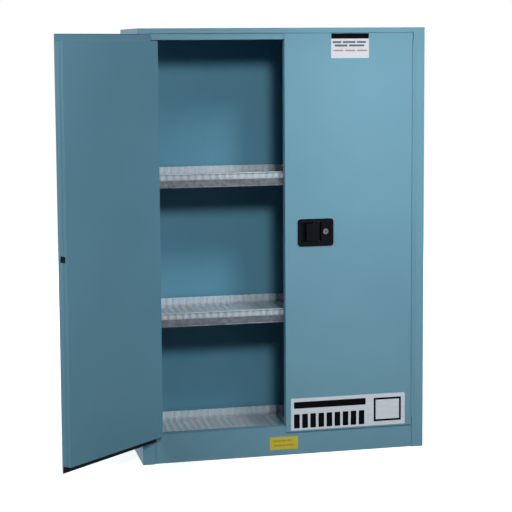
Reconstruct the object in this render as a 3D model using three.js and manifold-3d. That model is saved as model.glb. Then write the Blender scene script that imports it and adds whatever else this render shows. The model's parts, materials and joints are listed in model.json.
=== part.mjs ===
// Safety storage cabinet: a double-walled steel cupboard with two flush doors on continuous hinges.
// Millimetres. +X is to the right of someone who faces the doors, +Y to the back, +Z up.
// The origin lies on the floor, in the middle of the rear base flange. The right door is closed
// with its paddle half drawn, so that its three bolts just clear the frame; the left door is open.
import * as THREE from "three";
import { mergeVertices } from "three/addons/utils/BufferGeometryUtils.js";
import Module from "manifold-3d";

const wasm = await Module();
wasm.setup();

// Overall size and sheet
const width = 1118;
const height = 1651;
const depth = 457.2;
const sheet = 1.2;
const airSpace = 38;
const fit = 0.3;
const overrun = 5;
const tidyStep = 0.005;

// Carcass
const stileWidth = 45;
const headerHeight = 43;
const headerFace = 19;
const rabbet = 6;
const sillHeight = 113;
const sumpDepth = 50.8;
const jambDepth = 42;
const jambReturn = 16;
const baseFlange = 26;
const panelReturn = 20;
const linerFlange = 14;

// Doors
const doorThickness = 38;
const doorOpenDegrees = 139;
const doorGap = 1.4;
const centreGap = 3;
const sillLap = 23;
const panClearance = 3.5;
const hemDepth = 5;
const skinReturn = 23.5;

// Continuous hinges
const leafThickness = 1.5;
const leafDepth = 22;
const barrelRadius = 3.2;
const pinRadius = 1.5;
const knuckleLength = 92;
const barrelSides = 8;

// Shelves, trays and their standards
const lowerShelfHeight = 531;
const upperShelfHeight = 1064;
const shelfLipUp = 13;
const shelfLipDown = 15;
const shelfLipWidth = 4;
const shelfLipReturn = 10;
const shelfSetback = 8;
const shelfSideGap = 3;
const trayHeight = 38;
const trayWall = 2.5;
const trayGap = 2;
const trayRim = 1.5;
const trayCorner = 14;
const trayRibPitch = 32;
const trayRibHeight = 4;
const trayRibWidth = 12;
const trayFluteDepth = 3;
const trayFluteDrop = 5;
const standardWidth = 26;
const standardDepth = 7;
const standardInset = 42;
const standardBottom = 150;
const standardTopGap = 50;
const slotPitch = 76.2;
const slotWidth = 12;
const slotHeight = 8;
const clipWidth = 10;
const clipThickness = 2;
const clipLedge = 18;
const clipLeg = 16;
const clipHook = 4;

// Vents, grounding stud and levelling feet
const ventBore = 25.4;
const ventSleeveWall = 3;
const ventFlange = 42;
const ventFlangeThickness = 3;
const lowVentHeight = 250;
const highVentDrop = 171;
const bungHeadRadius = 34;
const bungFaceRadius = 32;
const bungHeadThickness = 9;
const bungPlugLength = 18;
const bungSquare = 22;
const bungSquareHeight = 8;
const arresterThickness = 4;
const arresterBoltRadius = 5;
const roundSides = 20;
const pinSides = 12;
const hexSides = 6;
const studRadius = 4;
const studLength = 16;
const washerRadius = 9;
const washerThickness = 1.6;
const nutWidth = 13;
const nutThickness = 6.5;
const studHeight = 75;
const studInset = 60;
const footPadRadius = 20;
const footPadThickness = 8;
const footStemRadius = 5;
const footTopGap = 5;
const footInset = 60;
const footNutRadius = 10;
const footNutHeight = 9;

// Latch in the right door
const plateLeft = 50;
const plateWidth = 142;
const plateBottom = 817;
const plateHeight = 105;
const plateThickness = 5;
const plateCorner = 12;
const recessMargin = 14;
const recessDepth = 3;
const dishInset = 19;
const dishWidth = 74;
const dishLowMargin = 18;
const dishHighMargin = 15;
const dishDepth = 20;
const dishWall = 1.5;
const paddleGap = 2.5;
const paddleThickness = 4;
const paddleFingerGap = 12;
const paddlePinInset = 8;
const paddlePinSetback = 4;
const paddlePinRadius = 2;
const knuckleRadius = 4.5;
const armThickness = 5;
const armWidth = 8;
const armInset = 8;
const drawnDegrees = 9;
const camThickness = 3;
const camRadius = 36;
const camArmWidth = 12;
const camHubRadius = 9;
const studPinRadius = 3;
const fingerRadius = 2.5;
const fingerReach = 11;
const fingerOverlap = 3;
const fingerGap = 0.5;
const latchLayerGap = 0.8;
const barThickness = 3;
const barWidth = 12;
const slotPlay = 0.6;
const slotSidePlay = 2.2;
const eyeRadius = 9;
const boltTipRadius = 6;
const boltTipLength = 60;
const boltNose = 3;
const boltRestGap = 1;
const guideHeight = 24;
const guideWall = 2;
const guideInset = 130;
const keyRadius = 11;
const keyProud = 1.5;
const keyInset = 31;
const keyRise = 55;
const keySlotWidth = 2.4;
const keySlotDepth = 3;
const strikeHeight = 22;
const strikeStart = 10;
const strikeEnd = 32;

// Places that follow from the sizes
const half = width / 2;
const rear = baseFlange / 2;
const front = rear - depth;
const jambX = half - stileWidth;
const hingeGapHalf = leafThickness + 1.5 * fit;
const hingeX = jambX - hingeGapHalf;
const hingeY = front - barrelRadius;
const doorEdgeX = hingeX - hingeGapHalf;
const openingTop = height - headerHeight;
const rabbetTop = height - headerFace;
const doorTop = rabbetTop - doorGap;
const doorBottom = sillHeight - sillLap;
const panTop = openingTop - panClearance;
const panBottom = sillHeight + panClearance;
const linerFront = front + jambDepth + fit;
const innerX = half - 2 * sheet - airSpace;
const innerRear = rear - 2 * sheet - airSpace;
const ceiling = height - 2 * sheet - airSpace;
const sumpFloor = sillHeight - sumpDepth;
const sumpRim = sillHeight - sheet;
const standardFace = innerX - fit - standardDepth;
const shelfHalf = standardFace - shelfSideGap;
const shelfFront = linerFront + shelfSetback;
const shelfRear = innerRear - shelfSetback;
const ventY = (front + rear) / 2;
const camFront = front + dishDepth + latchLayerGap;
const barFront = camFront + camThickness + latchLayerGap;
const barMiddle = barFront + barThickness / 2;
const dishLeft = plateLeft + dishInset;
const dishBottom = plateBottom + dishLowMargin;
const dishTop = plateBottom + plateHeight - dishHighMargin;
const armHeight = dishTop - armInset;
const camHeight = armHeight - fingerReach;
const keyHeight = plateBottom + keyRise;
const paddlePinX = dishLeft + dishWidth - paddlePinInset;
const paddlePinY = front + paddlePinSetback;
const drawn = THREE.MathUtils.degToRad(drawnDegrees);
const armLength = camFront - fingerGap - paddlePinY;
const armSwing = armLength * Math.sin(drawn) + (armThickness / 2) * Math.cos(drawn);
const camX = paddlePinX - armSwing - fingerGap - fingerRadius;
const boltHeight = camHeight - camRadius;

// Finishes
const bluePaint = new THREE.MeshStandardMaterial({ color: 0x6f9db3, roughness: 0.45, metalness: 0.1 });
const zincSteel = new THREE.MeshStandardMaterial({ color: 0x9aa1a6, roughness: 0.4, metalness: 0.9 });
const brightSteel = new THREE.MeshStandardMaterial({ color: 0xc8ccd0, roughness: 0.25, metalness: 1 });
const blackPlastic = new THREE.MeshStandardMaterial({ color: 0x17171a, roughness: 0.5, metalness: 0 });
const whitePlastic = new THREE.MeshStandardMaterial({ color: 0xd9dde2, roughness: 0.5, metalness: 0 });
const brass = new THREE.MeshStandardMaterial({ color: 0xb08d4a, roughness: 0.35, metalness: 1 });

// A closed mesh as a solid that can be joined and cut.
function solidOf(geometry) {
  const bare = geometry.clone();
  for (const name of Object.keys(bare.attributes)) if (name !== "position") bare.deleteAttribute(name);
  const merged = mergeVertices(bare, 1e-4);
  return new wasm.Manifold(
    new wasm.Mesh({
      numProp: 3,
      vertProperties: new Float32Array(merged.attributes.position.array),
      triVerts: new Uint32Array(merged.index.array),
    }),
  );
}

function geometryOf(solid) {
  const mesh = solid.simplify(tidyStep).getMesh();
  const geometry = new THREE.BufferGeometry();
  geometry.setAttribute("position", new THREE.BufferAttribute(new Float32Array(mesh.vertProperties), 3));
  geometry.setIndex(new THREE.BufferAttribute(new Uint32Array(mesh.triVerts), 1));
  geometry.computeVertexNormals();
  return geometry;
}

const join = (first, ...rest) => rest.reduce((whole, piece) => whole.add(piece), first);
const cut = (first, ...rest) => rest.reduce((whole, piece) => whole.subtract(piece), first);

// A block between two values on each axis, given in any order.
function block(xs, ys, zs) {
  const size = [xs, ys, zs].map(([a, b]) => Math.abs(b - a));
  const middle = [xs, ys, zs].map(([a, b]) => (a + b) / 2);
  return solidOf(new THREE.BoxGeometry(...size).translate(...middle));
}

// Turns geometry made along local +Z so that it runs along the named axis, keeping the other two in order.
const axisFrames = {
  X: new THREE.Matrix4().makeBasis(
    new THREE.Vector3(0, 1, 0),
    new THREE.Vector3(0, 0, 1),
    new THREE.Vector3(1, 0, 0),
  ),
  Y: new THREE.Matrix4().makeBasis(
    new THREE.Vector3(0, 0, 1),
    new THREE.Vector3(1, 0, 0),
    new THREE.Vector3(0, 1, 0),
  ),
  Z: new THREE.Matrix4(),
};

// An outline pushed along an axis. Outline points are (y, z) for X, (z, x) for Y and (x, y) for Z.
function extrude(shape, axis, from, to) {
  const geometry = new THREE.ExtrudeGeometry(shape, {
    depth: to - from,
    bevelEnabled: false,
    curveSegments: 4,
  });
  return solidOf(geometry.translate(0, 0, from).applyMatrix4(axisFrames[axis]));
}

const outline = (points) => new THREE.Shape(points.map(([a, b]) => new THREE.Vector2(a, b)));

// The outline of a folded sheet: a line of corners, given thickness on its left (1) or right (-1).
function foldedSheet(line, side, thickness = sheet) {
  const points = line.map(([a, b]) => new THREE.Vector2(a, b));
  const normals = points.slice(1).map((point, i) => {
    const along = point.clone().sub(points[i]).normalize();
    return new THREE.Vector2(-along.y, along.x).multiplyScalar(side);
  });
  const inner = points.map((point, i) => {
    const before = normals[Math.max(i - 1, 0)];
    const after = normals[Math.min(i, normals.length - 1)];
    const mitre = before.clone().add(after);
    return point.clone().add(mitre.multiplyScalar(thickness / (1 + before.dot(after))));
  });
  return new THREE.Shape([...points, ...inner.reverse()]);
}

function roundedRectangle(left, bottom, wide, high, corner) {
  const shape = new THREE.Shape();
  const right = left + wide;
  const top = bottom + high;
  shape.absarc(right - corner, top - corner, corner, 0, Math.PI / 2);
  shape.absarc(left + corner, top - corner, corner, Math.PI / 2, Math.PI);
  shape.absarc(left + corner, bottom + corner, corner, Math.PI, 1.5 * Math.PI);
  shape.absarc(right - corner, bottom + corner, corner, 1.5 * Math.PI, 2 * Math.PI);
  return shape;
}

// A round bar along an axis through (a, b), which are (y, z) for X, (z, x) for Y and (x, y) for Z.
function roundBar(axis, [a, b], radius, from, to, sides = roundSides, endRadius = radius) {
  const low = Math.min(from, to);
  const length = Math.abs(to - from);
  const topRadius = to > from ? endRadius : radius;
  const bottomRadius = to > from ? radius : endRadius;
  const geometry = new THREE.CylinderGeometry(topRadius, bottomRadius, length, sides);
  geometry.rotateX(Math.PI / 2).translate(a, b, low + length / 2);
  return solidOf(geometry.applyMatrix4(axisFrames[axis]));
}

const cabinet = new THREE.Group();

function addPart(name, solid, material, parent = cabinet) {
  const mesh = new THREE.Mesh(geometryOf(solid), material);
  mesh.name = name;
  parent.add(mesh);
  return mesh;
}

// A group that turns about a vertical or level line through a point; what it holds is made in place.
function pivotGroup(point, axis, angle, parent) {
  const turning = new THREE.Group();
  turning.position.set(...point);
  turning.setRotationFromAxisAngle(new THREE.Vector3(...axis), angle);
  const still = new THREE.Group();
  still.position.set(...point.map((value) => -value));
  turning.add(still);
  parent.add(turning);
  return still;
}

const sides = [
  ["left", -1, lowVentHeight],
  ["right", 1, height - highVentDrop],
];

function outerSide(side, ventHeight) {
  const wall = foldedSheet(
    [
      [side * half, rear],
      [side * half, front],
      [side * jambX, front],
      [side * jambX, front + jambDepth],
      [side * (jambX + jambReturn), front + jambDepth],
    ],
    -side,
  );
  const foot = block([side * (half - baseFlange), side * half], [front, rear], [0, sheet]);
  const ventHole = roundBar(
    "X",
    [ventY, ventHeight],
    ventBore + ventSleeveWall + fit,
    side * (half - airSpace),
    side * (half + overrun),
  );
  return cut(join(extrude(wall, "Z", 0, height - sheet - fit), foot), ventHole);
}

function outerBack() {
  const edge = half - sheet - fit;
  const flangeEdge = half - baseFlange - fit;
  const wall = foldedSheet(
    [
      [-edge, rear - panelReturn],
      [-edge, rear],
      [edge, rear],
      [edge, rear - panelReturn],
    ],
    -1,
  );
  const foot = foldedSheet(
    [
      [rear - baseFlange, 0],
      [rear, 0],
      [rear, panelReturn],
    ],
    1,
  );
  return join(
    extrude(wall, "Z", sheet + fit, height - sheet - fit),
    extrude(foot, "X", -flangeEdge, flangeEdge),
  );
}

function outerTop() {
  const lid = block([-half, half], [front, rear], [height - sheet, height]);
  const edge = half - sheet - fit;
  const low = height - panelReturn;
  const sideFlanges = [-1, 1].map((side) =>
    block(
      [side * (edge - sheet), side * edge],
      [front + sheet + fit, rear - panelReturn - fit],
      [low, height - sheet / 2],
    ),
  );
  const rearEdge = rear - sheet - fit;
  const rearFlange = block(
    [-(edge - sheet - fit), edge - sheet - fit],
    [rearEdge - sheet, rearEdge],
    [low, height - sheet / 2],
  );
  return join(lid, ...sideFlanges, rearFlange);
}

function header() {
  const top = height - sheet - fit;
  const section = foldedSheet(
    [
      [front + jambDepth, openingTop + jambReturn],
      [front + jambDepth, openingTop],
      [front + rabbet, openingTop],
      [front + rabbet, rabbetTop],
      [front, rabbetTop],
      [front, top],
      [front + panelReturn, top],
    ],
    -1,
  );
  const bar = extrude(section, "X", -(jambX - fit), jambX - fit);
  const strikeHole = roundBar(
    "Z",
    [camX - camRadius, barMiddle],
    boltTipRadius + 2 * fit,
    openingTop - overrun,
    openingTop + overrun,
  );
  return cut(bar, strikeHole);
}

function plinth() {
  const face = front + rabbet;
  const section = foldedSheet(
    [
      [face + baseFlange, 0],
      [face, 0],
      [face, sillHeight],
      [front + jambDepth, sillHeight],
      [front + jambDepth, sillHeight - jambReturn],
    ],
    -1,
  );
  const bar = extrude(section, "X", -(jambX - fit), jambX - fit);
  const strikeHole = roundBar(
    "Z",
    [camX + camRadius, barMiddle],
    boltTipRadius + 2 * fit,
    sillHeight - overrun,
    sillHeight + overrun,
  );
  return cut(bar, strikeHole);
}

// The feet stand on threaded nuts under the outer floor, clear of the base flanges.
const footPlaces = [
  ["front_left", -1, front + jambDepth + footInset],
  ["front_right", 1, front + jambDepth + footInset],
  ["rear_left", -1, rear - baseFlange - footInset],
  ["rear_right", 1, rear - baseFlange - footInset],
];
const footX = half - baseFlange - footInset;

function outerFloor() {
  const edge = half - 2 * (sheet + fit);
  const rearEdge = rear - sheet - fit;
  const top = sumpFloor - sheet - airSpace;
  const bottom = sheet + fit;
  const shell = cut(
    block([-edge, edge], [linerFront, rearEdge], [bottom, top]),
    block([-edge + sheet, edge - sheet], [linerFront + sheet, rearEdge - sheet], [-overrun, top - sheet]),
  );
  const nuts = footPlaces.map(([, side, y]) =>
    roundBar("Z", [side * footX, y], footNutRadius, top - sheet / 2, top + footNutHeight, hexSides),
  );
  const holes = footPlaces.map(([, side, y]) =>
    roundBar("Z", [side * footX, y], footStemRadius + fit, 0, top + footNutHeight + overrun),
  );
  return cut(join(shell, ...nuts), ...holes);
}

function foot(side, y) {
  const pad = roundBar("Z", [side * footX, y], footPadRadius, fit, footPadThickness);
  const stemTop = sumpFloor - sheet - footTopGap;
  const stem = roundBar("Z", [side * footX, y], footStemRadius, footPadThickness - sheet, stemTop);
  return join(pad, stem);
}

function innerSide(side, ventHeight) {
  const section = foldedSheet(
    [
      [side * (innerX + linerFlange), linerFront],
      [side * innerX, linerFront],
      [side * innerX, innerRear - fit],
      [side * (innerX + linerFlange), innerRear - fit],
    ],
    -side,
  );
  const wall = extrude(section, "Z", sumpRim + fit, ceiling - fit);
  const ventHole = roundBar(
    "X",
    [ventY, ventHeight],
    ventBore + ventSleeveWall + fit,
    side * (innerX - overrun),
    side * (innerX + overrun),
  );
  return cut(wall, ventHole);
}

function innerBack() {
  const edge = innerX + linerFlange;
  const section = foldedSheet(
    [
      [-edge, innerRear + linerFlange],
      [-edge, innerRear],
      [edge, innerRear],
      [edge, innerRear + linerFlange],
    ],
    1,
  );
  return extrude(section, "Z", sumpRim + fit, ceiling - fit);
}

function innerTop() {
  const edge = innerX + linerFlange;
  const section = foldedSheet(
    [
      [linerFront, ceiling + linerFlange],
      [linerFront, ceiling],
      [innerRear + linerFlange, ceiling],
      [innerRear + linerFlange, ceiling + linerFlange],
    ],
    1,
  );
  return extrude(section, "X", -edge, edge);
}

function sumpPan() {
  const box = block(
    [-(innerX + sheet), innerX + sheet],
    [linerFront, innerRear + sheet],
    [sumpFloor - sheet, sumpRim],
  );
  const hollow = block([-innerX, innerX], [linerFront + sheet, innerRear], [sumpFloor, sumpRim + overrun]);
  const rim = block(
    [-(innerX + linerFlange), innerX + linerFlange],
    [linerFront + sheet, innerRear + linerFlange],
    [sumpRim - sheet, sumpRim],
  );
  return cut(join(box, rim), hollow);
}

// Slotted channels that carry the shelf clips.
const standardPlaces = [
  ["front", linerFront + standardInset],
  ["rear", innerRear - standardInset],
];
const standardTop = ceiling - standardTopGap;
const slotCount = Math.floor((standardTop - standardBottom) / slotPitch);

function standard(side, y) {
  const wallFace = innerX - fit;
  const section = foldedSheet(
    [
      [side * wallFace, y - standardWidth / 2],
      [side * standardFace, y - standardWidth / 2],
      [side * standardFace, y + standardWidth / 2],
      [side * wallFace, y + standardWidth / 2],
    ],
    -side,
  );
  const channel = extrude(section, "Z", standardBottom, standardTop);
  const slots = slotHeights().map((z) =>
    block(
      [side * (standardFace - overrun), side * (standardFace + sheet + fit)],
      [y - slotWidth / 2, y + slotWidth / 2],
      [z - slotHeight / 2, z + slotHeight / 2],
    ),
  );
  return cut(channel, ...slots);
}

// The slots keep their pitch from the lower shelf's clips, which sit in the middle of one.
const clipTop = (shelfHeight) => shelfHeight - sheet - fit;

function slotHeights() {
  const seat = clipTop(lowerShelfHeight) - clipThickness / 2;
  const below = Math.floor((seat - standardBottom - slotHeight) / slotPitch);
  const heights = Array.from({ length: slotCount }, (_, i) => seat + (i - below) * slotPitch);
  return heights.filter((z) => z < standardTop - slotHeight);
}

// The nearest slot to the height that is asked for.
function shelfLevel(wanted) {
  const seat = (level) => clipTop(level) - clipThickness / 2;
  const steps = Math.round((seat(wanted) - seat(lowerShelfHeight)) / slotPitch);
  return lowerShelfHeight + steps * slotPitch;
}

function shelfClip(side, y, shelfHeight) {
  const top = clipTop(shelfHeight);
  const inner = standardFace - fit;
  const behind = standardFace + sheet + fit;
  const section = outline(
    [
      [top, inner - clipLedge],
      [top, behind + clipThickness],
      [top - clipThickness - clipHook, behind + clipThickness],
      [top - clipThickness - clipHook, behind],
      [top - clipThickness, behind],
      [top - clipThickness, inner],
      [top - clipLeg, inner],
      [top - clipLeg, inner - clipThickness],
      [top - clipThickness, inner - clipThickness],
      [top - clipThickness, inner - clipLedge],
    ].map(([z, x]) => [z, side * x]),
  );
  return extrude(section, "Y", y - clipWidth / 2, y + clipWidth / 2);
}

function shelf(deck) {
  const low = deck - shelfLipDown;
  const top = deck + shelfLipUp;
  const section = foldedSheet(
    [
      [shelfFront + shelfLipReturn, low],
      [shelfFront, low],
      [shelfFront, top],
      [shelfFront + shelfLipWidth, top],
      [shelfFront + shelfLipWidth, deck],
      [shelfRear - shelfLipWidth, deck],
      [shelfRear - shelfLipWidth, top],
      [shelfRear, top],
      [shelfRear, low],
      [shelfRear - shelfLipReturn, low],
    ],
    -1,
  );
  const sideLips = [-1, 1].map((side) =>
    block(
      [side * (shelfHalf - sheet), side * shelfHalf],
      [shelfFront + shelfLipWidth - sheet / 2, shelfRear - shelfLipWidth + sheet / 2],
      [deck - sheet / 2, top],
    ),
  );
  return join(extrude(section, "X", -shelfHalf, shelfHalf), ...sideLips);
}

// A moulded tray: a round-cornered shell with a rolled rim.
// Its ribs run from front to back and climb both walls.
const trayHalf = shelfHalf - sheet - trayGap - trayRim;
const trayFront = shelfFront + shelfLipWidth + trayGap + trayRim;
const trayRear = shelfRear - shelfLipWidth - trayGap - trayRim;
const trayBay = trayRear - trayFront;

function trayOutline(inset) {
  return roundedRectangle(
    -trayHalf + inset,
    trayFront + inset,
    2 * (trayHalf - inset),
    trayBay - 2 * inset,
    trayCorner - inset,
  );
}

function tray(floor) {
  const base = floor + fit;
  const top = base + trayHeight;
  const shell = extrude(trayOutline(0), "Z", base, top);
  const rim = extrude(trayOutline(-trayRim), "Z", top - 2 * trayRim, top);
  const hollow = extrude(trayOutline(trayWall), "Z", base + trayWall, top + overrun);
  const inside = trayHalf - trayWall - trayCorner;
  const ribCount = Math.floor((2 * inside) / trayRibPitch);
  const first = ((1 - ribCount) * trayRibPitch) / 2;
  const root = base + trayWall / 2;
  const crest = base + trayWall + trayRibHeight;
  const fluteTop = top - trayFluteDrop;
  const [frontWall, rearWall] = [trayFront + trayWall, trayRear - trayWall];
  const rib = extrude(
    outline([
      [frontWall - trayWall / 2, root],
      [frontWall - trayWall / 2, fluteTop],
      [frontWall + trayFluteDepth, fluteTop],
      [frontWall + trayFluteDepth, crest],
      [rearWall - trayFluteDepth, crest],
      [rearWall - trayFluteDepth, fluteTop],
      [rearWall + trayWall / 2, fluteTop],
      [rearWall + trayWall / 2, root],
    ]),
    "X",
    -trayRibWidth / 2,
    trayRibWidth / 2,
  );
  const ribs = Array.from({ length: ribCount }, (_, i) => rib.translate(first + i * trayRibPitch, 0, 0));
  return join(cut(join(shell, rim), hollow), ...ribs);
}

// Vent sleeves join the two walls; a bung closes each from outside and a flame arrester from inside.
const sleeveOuter = half + fit + ventFlangeThickness;

function ventSleeve(side, z) {
  const tube = roundBar("X", [ventY, z], ventBore + ventSleeveWall, side * innerX, side * sleeveOuter);
  const flange = roundBar("X", [ventY, z], ventFlange, side * (half + fit), side * sleeveOuter);
  const bore = roundBar(
    "X",
    [ventY, z],
    ventBore,
    side * (innerX - overrun),
    side * (sleeveOuter + overrun),
  );
  return cut(join(tube, flange), bore);
}

function ventBung(side, z) {
  const face = sleeveOuter + fit;
  const outer = face + bungHeadThickness;
  const head = roundBar(
    "X",
    [ventY, z],
    bungHeadRadius,
    side * face,
    side * outer,
    roundSides,
    bungFaceRadius,
  );
  const plug = roundBar(
    "X",
    [ventY, z],
    ventBore - fit,
    side * (face - bungPlugLength),
    side * (face + sheet),
  );
  const drive = block(
    [side * (outer - sheet), side * (outer + bungSquareHeight)],
    [ventY - bungSquare / 2, ventY + bungSquare / 2],
    [z - bungSquare / 2, z + bungSquare / 2],
  );
  return join(head, plug, drive);
}

function flameArrester(side, z) {
  const inner = innerX + sheet;
  const ring = roundBar("X", [ventY, z], ventBore - fit, side * inner, side * (inner + arresterThickness));
  const boss = roundBar(
    "X",
    [ventY, z],
    arresterBoltRadius,
    side * (inner - sheet),
    side * (inner + sheet),
  );
  return join(ring, boss);
}

function groundStud() {
  const centre = [rear - studInset, studHeight];
  const face = half + fit;
  const nutRadius = nutWidth / Math.sqrt(3);
  const washer = roundBar("X", centre, washerRadius, face, face + washerThickness);
  const nut = roundBar(
    "X",
    centre,
    nutRadius,
    face + washerThickness / 2,
    face + washerThickness + nutThickness,
    hexSides,
  );
  const stud = roundBar("X", centre, studRadius, face + washerThickness / 2, face + studLength, pinSides);
  return join(washer, nut, stud);
}

// Continuous hinge: both leaves carry every second knuckle on one pin.
const hingeBottom = panBottom;
const hingeTop = panTop;
const knuckleCount = Math.round((hingeTop - hingeBottom) / knuckleLength);
const knuckleStep = (hingeTop - hingeBottom) / knuckleCount;

function hingeLeaf(side, isFrameLeaf) {
  const away = isFrameLeaf ? side : -side;
  const axisX = side * hingeX;
  const leaf = block(
    [axisX + (away * fit) / 2, axisX + away * (fit / 2 + leafThickness)],
    [hingeY, front + leafDepth],
    [hingeBottom, hingeTop],
  );
  const first = isFrameLeaf ? 0 : 1;
  const spans = Array.from({ length: knuckleCount }, (_, i) => {
    const low = hingeBottom + i * knuckleStep;
    return [low + (i ? fit / 2 : 0), low + knuckleStep - (i < knuckleCount - 1 ? fit / 2 : 0)];
  });
  const own = spans.filter((_, i) => i % 2 === first);
  const mates = spans.filter((_, i) => i % 2 !== first);
  const tubes = own.map(([low, high]) =>
    roundBar("Z", [axisX, hingeY], barrelRadius, low, high, barrelSides),
  );
  const clear = mates.map(([low, high]) =>
    roundBar("Z", [axisX, hingeY], barrelRadius + fit, low - fit, high + fit, barrelSides),
  );
  const bore = roundBar(
    "Z",
    [axisX, hingeY],
    pinRadius + fit,
    hingeBottom - overrun,
    hingeTop + overrun,
    barrelSides,
  );
  const plate = cut(leaf, ...clear);
  return cut(join(plate, ...tubes), bore);
}

function hingePin(side) {
  return roundBar("Z", [side * hingeX, hingeY], pinRadius, hingeBottom, hingeTop, barrelSides);
}

// Door skin: a hemmed face whose two long edges are turned in deeper between the flanges.
function doorSkin(side) {
  const edges = [side * doorEdgeX, (side * centreGap) / 2];
  const inner = edges.map((x, i) => x + (i ? side : -side) * sheet);
  const hemmed = cut(
    block(edges, [front, front + hemDepth], [doorBottom, doorTop]),
    block(inner, [front + sheet, front + hemDepth + overrun], [doorBottom + sheet, doorTop - sheet]),
  );
  const returns = edges.map((x, i) =>
    block([x, inner[i]], [front + sheet / 2, front + skinReturn], [panBottom, panTop]),
  );
  return join(hemmed, ...returns);
}

// Door pan: the inner wall of the door, folded forward on four sides to meet the skin.
function doorPan(side) {
  const clear = sheet + fit;
  const outer = [side * (doorEdgeX - clear), side * (centreGap / 2 + clear)];
  const inner = [side * (doorEdgeX - clear - sheet), side * (centreGap / 2 + clear + sheet)];
  return cut(
    block(outer, [front + clear, front + doorThickness], [panBottom, panTop]),
    block(
      inner,
      [front - overrun, front + doorThickness - sheet],
      [panBottom + sheet, panTop - sheet],
    ),
  );
}

// The slot through a door's edge for the centre bolt.
function boltSlot(side, from, to) {
  return block(
    [side * from, side * to],
    [barFront - slotPlay, barFront + barThickness + slotPlay],
    [boltHeight - barWidth / 2 - slotPlay, boltHeight + barWidth / 2 + slotPlay],
  );
}

function strikePlate() {
  const face = centreGap / 2;
  const plate = block(
    [-face, -(face + sheet)],
    [front + strikeStart, front + strikeEnd],
    [boltHeight - strikeHeight / 2, boltHeight + strikeHeight / 2],
  );
  return cut(plate, boltSlot(-1, 0, face + 2 * sheet + fit));
}

function strikeNotch() {
  return block(
    [0, -(centreGap / 2 + sheet + fit / 2)],
    [front + strikeStart - fit, front + skinReturn + overrun],
    [boltHeight - strikeHeight / 2 - fit, boltHeight + strikeHeight / 2 + fit],
  );
}

function housing() {
  const face = front - plateThickness;
  const plate = extrude(
    roundedRectangle(plateBottom, plateLeft, plateHeight, plateWidth, plateCorner),
    "Y",
    face,
    front - fit,
  );
  const recess = block(
    [plateLeft + recessMargin, plateLeft + plateWidth - recessMargin],
    [face - overrun, face + recessDepth],
    [dishBottom, dishTop],
  );
  const dish = block(
    [dishLeft - dishWall, dishLeft + dishWidth + dishWall],
    [front - plateThickness / 2, front + dishDepth],
    [dishBottom - dishWall, dishTop + dishWall],
  );
  const hollow = block(
    [dishLeft, dishLeft + dishWidth],
    [face - overrun, front + dishDepth - dishWall],
    [dishBottom, dishTop],
  );
  const armSlot = block(
    [camX - camHubRadius, paddlePinX + camHubRadius],
    [front + dishDepth - dishWall - fit, front + dishDepth + overrun],
    [armHeight - armWidth / 2 - paddleGap, armHeight + armWidth / 2 + paddleGap],
  );
  const keyHole = roundBar(
    "Y",
    [keyHeight, plateLeft + plateWidth - keyInset],
    keyRadius + fit,
    face - overrun,
    front + overrun,
  );
  const pinHole = roundBar(
    "Z",
    [paddlePinX, paddlePinY],
    paddlePinRadius + fit,
    dishBottom - 2 * overrun,
    dishTop + 2 * overrun,
    pinSides,
  );
  const pivot = roundBar(
    "Y",
    [camHeight, camX],
    studPinRadius,
    front + dishDepth - dishWall / 2,
    barFront + barThickness,
    pinSides,
  );
  return join(cut(join(plate, dish), recess, hollow, armSlot, keyHole, pinHole), pivot);
}

// The housing passes through openings in the door skin.
function housingOpening() {
  const dish = block(
    [dishLeft - dishWall - fit, dishLeft + dishWidth + dishWall + fit],
    [front - overrun, front + overrun],
    [dishBottom - dishWall - fit, dishTop + dishWall + fit],
  );
  const key = roundBar(
    "Y",
    [keyHeight, plateLeft + plateWidth - keyInset],
    keyRadius + 2 * fit,
    front - overrun,
    front + overrun,
  );
  return join(dish, key);
}

function paddle() {
  const face = front - plateThickness + fit;
  const left = dishLeft + paddleFingerGap;
  const low = dishBottom + paddleGap;
  const high = dishTop - paddleGap;
  const blade = outline([
    [left, face + paddleThickness],
    [left, face + paddleThickness / 2],
    [left + paddleThickness, face],
    [paddlePinX, face],
    [paddlePinX, face + paddleThickness],
  ]);
  const grip = extrude(blade, "Z", low, high);
  const knuckle = roundBar("Z", [paddlePinX, paddlePinY], knuckleRadius, low, high, pinSides);
  const web = block([paddlePinX - knuckleRadius, paddlePinX], [face, paddlePinY], [low, high]);
  const arm = block(
    [paddlePinX - armThickness / 2, paddlePinX + armThickness / 2],
    [paddlePinY, paddlePinY + armLength],
    [armHeight - armWidth / 2, armHeight + armWidth / 2],
  );
  const bore = roundBar(
    "Z",
    [paddlePinX, paddlePinY],
    paddlePinRadius + fit,
    low - overrun,
    high + overrun,
    pinSides,
  );
  return cut(join(grip, web, knuckle, arm), bore);
}

function paddlePin() {
  const low = dishBottom - dishWall;
  const high = dishTop + dishWall;
  return roundBar("Z", [paddlePinX, paddlePinY], paddlePinRadius, low, high, pinSides);
}

// The cam turns on the housing's pivot and moves all three bolts by a stud on each arm.
const camStuds = [
  [-camRadius, 0],
  [camRadius, 0],
  [0, -camRadius],
];

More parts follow.
